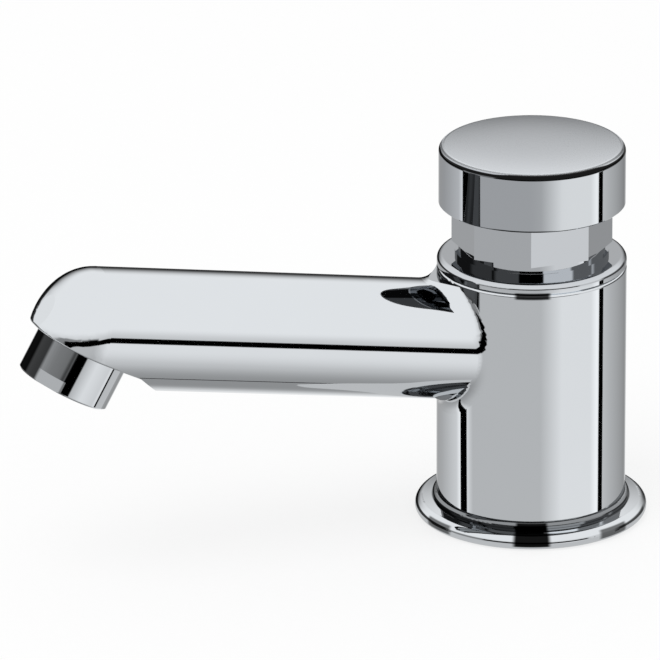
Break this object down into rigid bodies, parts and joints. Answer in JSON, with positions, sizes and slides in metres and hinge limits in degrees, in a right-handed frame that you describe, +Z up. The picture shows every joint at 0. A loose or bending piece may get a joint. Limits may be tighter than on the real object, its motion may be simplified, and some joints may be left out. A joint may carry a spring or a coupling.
{
  "type": "push timed tap",
  "caption": "Chromed basin tap: pressing the button on top opens the valve, and a metered piston closes it slowly; tubular spout with a tilted aerator, threaded inlet shank below.",
  "frame": {"origin": "centre of the foot on the deck's top face, on the axis of the body and the inlet shank", "axes": "+Z up along the body, -X towards the spout's outlet, +Y across the tap"},
  "size_m": [0.1414, 0.0502, 0.142],
  "materials": {
    "polished_chrome": "mirror polished chrome plate on brass",
    "button_chrome": "chrome plate with a finely turned, slightly satin top",
    "plain_brass": "turned, unplated",
    "zinc_steel": "zinc plated, dull",
    "spring_steel": "drawn stainless wire",
    "black_rubber": "matt moulded",
    "grey_plastic": "moulded acetal",
    "white_plastic": "moulded acetal"
  },
  "bodies": {
    "fixed_tap": {"tap_body": "polished_chrome", "base_flange": "polished_chrome", "base_gasket": "black_rubber", "inlet_shank": "plain_brass", "shank_seal": "black_rubber", "inlet_strainer": "white_plastic", "flow_restrictor": "grey_plastic", "bonnet_head": "polished_chrome", "bonnet_o_ring": "black_rubber", "gland_bush": "grey_plastic", "stem_o_rings": "black_rubber", "return_spring": "spring_steel", "metering_pin": "spring_steel", "timing_sleeve": "plain_brass", "seat_gasket": "black_rubber", "valve_seat": "plain_brass", "aerator_housing": "polished_chrome", "aerator_screens": "spring_steel", "aerator_insert": "grey_plastic", "aerator_washer": "black_rubber"},
    "piston_group": {"piston": "grey_plastic", "piston_cup_seal": "black_rubber", "cup_seal_washer": "plain_brass"},
    "button": {"push_cap": "button_chrome", "spring_washer": "zinc_steel", "stem": "plain_brass", "piston_clip": "spring_steel", "seat_washer": "black_rubber", "washer_retainer": "plain_brass", "stem_nut": "plain_brass"},
    "deck_washers": {"deck_seal": "black_rubber", "lock_washer": "zinc_steel"},
    "nut": {"lock_nut": "plain_brass"}
  },
  "joints": [
    {"name": "button_press", "type": "slide", "parent": "fixed_tap", "child": "piston_group", "axis": [0, 0, -1], "range_m": [0, 0.007], "stiffness_N_per_m": 1500, "springref_m": -0.007, "deforming": ["return_spring"]},
    {"name": "button_spin", "type": "hinge", "parent": "piston_group", "child": "button", "pos_m": [0, 0, 0.077], "axis": [0, 0, 1], "continuous": true},
    {"name": "nut_travel", "type": "slide", "parent": "fixed_tap", "child": "deck_washers", "axis": [0, 0, 1], "range_m": [-0.0105, 0.0165]},
    {"name": "nut_turn", "type": "hinge", "parent": "deck_washers", "child": "nut", "pos_m": [0, 0, -0.0285], "axis": [0, 0, 1], "range_deg": [-2083, 3274]}
  ],
  "couplings": [
    {"joint": "nut_travel", "follows": "nut_turn", "m_per_rad": 0.00028871}
  ]
}
